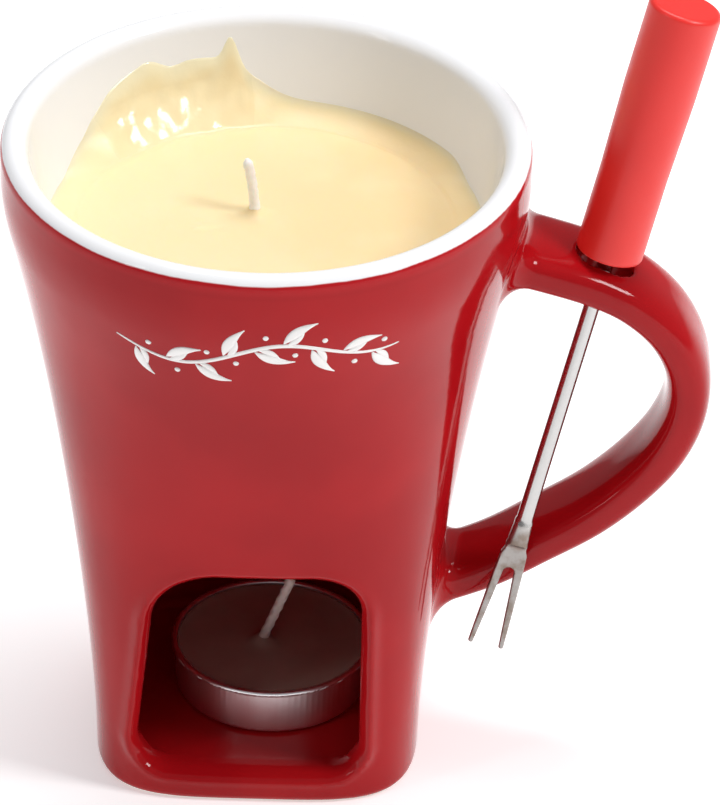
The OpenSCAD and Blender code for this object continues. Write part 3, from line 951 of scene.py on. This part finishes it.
def make_tealight():
    place = Matrix.Translation(Vector((CUP_AT[0] * MM, CUP_AT[1] * MM, CUP_Z * MM)))
    r, h = CUP_R, CUP_H
    bead = 0.55
    corners = [
        (0, 0.35, 0), (r - 4.2, 0.35, 0.2), (r - 3.6, 0, 0.3), (r - 0.95, 0, 0.8),
        (r - 0.55, h - 2 * bead, 0.25), (r, h - 1.75 * bead, 0.3), (r, h, 0.5), (r - 1.15, h, 0.4),
        (r - 1.0, h - 2.2 * bead, 0.3), (r - 1.25, 0.4, 0.5), (r - 3.7, 0.3, 0.1), (r - 4.3, 0.6, 0.1),
        (0, 0.6, 0),
    ]

    def crimp(radius, z, angle):
        near_top = math.exp(-(((z - h + 2.6) / 1.6) ** 2))
        return 0.05 * near_top * np.cos(96 * angle) * (radius > r - 2) * (z < h - 1.1)

    points, faces = lathe(rounded(corners, 4, 0.12), 384, crimp)
    cup = metal("cup_aluminium", (0.95, 0.94, 0.94, 1), (0.86, 0.85, 0.86, 1), 0.26, (1, 1, 0.12), 160)
    add_piece("tealight_cup_pressed", points, faces, "tealight", cup, ["tealight_cup"],
              place=place)

    level = cad_box("tealight_wax")[1][2] - CUP_Z
    wax_r = r - 1.15
    profile = [(0, 0.65), (wax_r - 0.8, 0.65), (wax_r, 1.3), (wax_r, level + 0.35)]
    profile.append((wax_r - 0.1, level + 0.45))
    for s in np.linspace(0, 1, 40)[1:]:
        climb = 0.7 * math.exp(-((s * wax_r) / 0.7))
        profile.append((wax_r * (1 - s), level + climb - 0.35 * smooth(s * 3)))
    points, faces = lathe(np.array(profile), 160)
    flat = points[:, 2] > level - 1
    x, y = points[flat, 0], points[flat, 1]
    from_wick = np.hypot(x + CUP_AT[0] - TEA_WICK_FOOT[0], y + CUP_AT[1] - TEA_WICK_FOOT[1])
    cone = TEALIGHT_CONE_H * np.exp(-((from_wick / CONE_R) ** 1.5))
    points[flat, 2] += 0.06 * lumps(x, y, 9, 12) + cone
    add_piece("tealight_wax_cast", points, faces, "tealight", tealight_wax_material(), ["tealight_wax"],
              place=place)


# --- Fork ----------------------------------------------------------------------------------------

STEEL_STEP = 0.28


def fork_frame():
    """The fork's own frame: Z runs up the shank, and the head lies flat in XZ."""
    axis = Vector(next(j["axis"] for j in frame["joints"] if j["name"] == "fork_lift")).normalized()
    across = Vector((0, 1, 0)).cross(axis).normalized()
    back = axis.cross(across)
    place = Matrix((across, back, axis)).transposed().to_4x4()
    place.translation = Vector(FORK_SEAT * MM)
    return place


def make_fork():
    place = fork_frame()
    corners = [
        (0, 0, 0), (SHANK_R - 0.2, 0, 0), (SHANK_R + 0.5, 0.35, 0.2), (GRIP_LOW_R - 1.4, 0, 0.3),
        (GRIP_LOW_R, 0, 0.9), (GRIP_LOW_R + 0.03, GRIP_L / 3, 0), (GRIP_TOP_R - 0.03, GRIP_L * 2 / 3, 0),
        (GRIP_TOP_R, GRIP_L, 1.0), (GRIP_TOP_R - 2.4, GRIP_L, 0), (0, GRIP_L, 0),
    ]
    points, faces = lathe(rounded(corners, 8, 0.3), 128)
    add_piece("fork_grip_moulded", points, faces, "fork", grip_plastic(), ["fork_grip"],
              place=place)
    low = (-4.4, -2.4, -STEEL_L - 0.8)
    high = (4.4, 2.4, SHANK_IN_GRIP + 0.8)
    points, faces, normals = surface_net(steel_field, low, high, STEEL_STEP)
    add_piece("fork_steel_forged", points, faces, "fork", fork_metal(), ["fork_steel"],
              normals, place)


# --- Stage ---------------------------------------------------------------------------------------


def make_stage():
    bpy.ops.mesh.primitive_plane_add(size=6, location=(0, 0, 0))
    floor = bpy.context.object
    floor.name = "floor"
    s = Shader("pale_floor", Roughness=0.6, Specular_IOR_Level=0.0, Emission_Strength=0.38)
    s.set(Emission_Color=(1, 1, 1, 1))
    floor.data.materials.append(s.set(Base_Color=(0.95, 0.95, 0.95, 1)))

    def softbox(name, place, size, power, aim=(0, 0, 0.06)):
        data = bpy.data.lights.new(name, "AREA")
        data.shape = "RECTANGLE"
        data.size, data.size_y = size
        data.energy = power
        light = bpy.data.objects.new(name, data)
        light.location = place
        light.rotation_euler = (Vector(aim) - Vector(place)).to_track_quat("-Z", "Y").to_euler()
        bpy.context.scene.collection.objects.link(light)

    softbox("key", (0.80, -0.30, 0.95), (0.3, 0.3), 7.0)
    softbox("fill", (-0.85, -0.6, 0.6), (0.12, 0.6), 1.3)
    softbox("top", (0.1, 0.25, 1.1), (0.7, 0.3), 6.6)

    world = bpy.data.worlds.new("studio")
    bpy.context.scene.world = world
    world.use_nodes = True
    background = next(n for n in world.node_tree.nodes if n.type == "BACKGROUND")
    background.inputs[0].default_value = (0.95, 0.96, 1.0, 1)
    background.inputs[1].default_value = 0.30


# The camera that was fitted to the photo: angles in degrees, and its target and distance in metres.
CAMERA_TURN = (0.387, 33.714, 1.277)
CAMERA_TARGET = (0.018407, 0, 0.071929)
CAMERA_AWAY = 1.5
CAMERA_LENS = 353.8


def make_camera():
    azimuth, elevation, roll = (math.radians(a) for a in CAMERA_TURN)
    level = math.cos(elevation)
    back = Vector((math.sin(azimuth) * level, -math.cos(azimuth) * level, math.sin(elevation)))
    right = Vector((math.cos(azimuth), math.sin(azimuth), 0))
    up = back.cross(right)
    data = bpy.data.cameras.new("camera")
    data.lens = CAMERA_LENS
    data.sensor_width = 36
    data.clip_start = 0.05
    camera = bpy.data.objects.new("camera", data)
    across = math.cos(roll) * right + math.sin(roll) * up
    rise = math.cos(roll) * up - math.sin(roll) * right
    turned = Matrix((across, rise, back)).transposed().to_4x4()
    turned.translation = Vector(CAMERA_TARGET) + CAMERA_AWAY * back
    camera.matrix_world = turned
    bpy.context.scene.collection.objects.link(camera)
    bpy.context.scene.camera = camera


# --- Build ---------------------------------------------------------------------------------------

make_mug()
make_handle()
make_ornament()
make_bowl_wax()
make_wick("bowl_wick_braided", "bowl_wick", "mug", radius=WICK_R, lean=-math.radians(12.5), settle=12,
          free=12, foot=WICK_FOOT, wax_top=WAX_Z,
          material=cotton("waxed_wick", (0.95, 0.93, 0.88, 1)))
make_tealight()
make_wick("tealight_wick_braided", "tealight_wick", "tealight", radius=0.95, lean=math.radians(21),
          settle=1.0, free=16, foot=TEA_WICK_FOOT, wax_top=cad_box("tealight_wax")[1][2],
          material=cotton("tealight_cotton", (0.80, 0.66, 0.60, 1)))
make_fork()

clip_metal = metal("clip_steel", (0.72, 0.73, 0.75, 1), (0.5, 0.51, 0.53, 1), 0.25, (1, 1, 1), 200)
for node in ("bowl_wick_clip", "tealight_wick_clip"):
    clip = frame["nodes"][node]
    clip.data.materials.clear()
    clip.data.materials.append(clip_metal)

make_stage()
make_camera()
bpy.context.scene.view_settings.view_transform = "Standard"
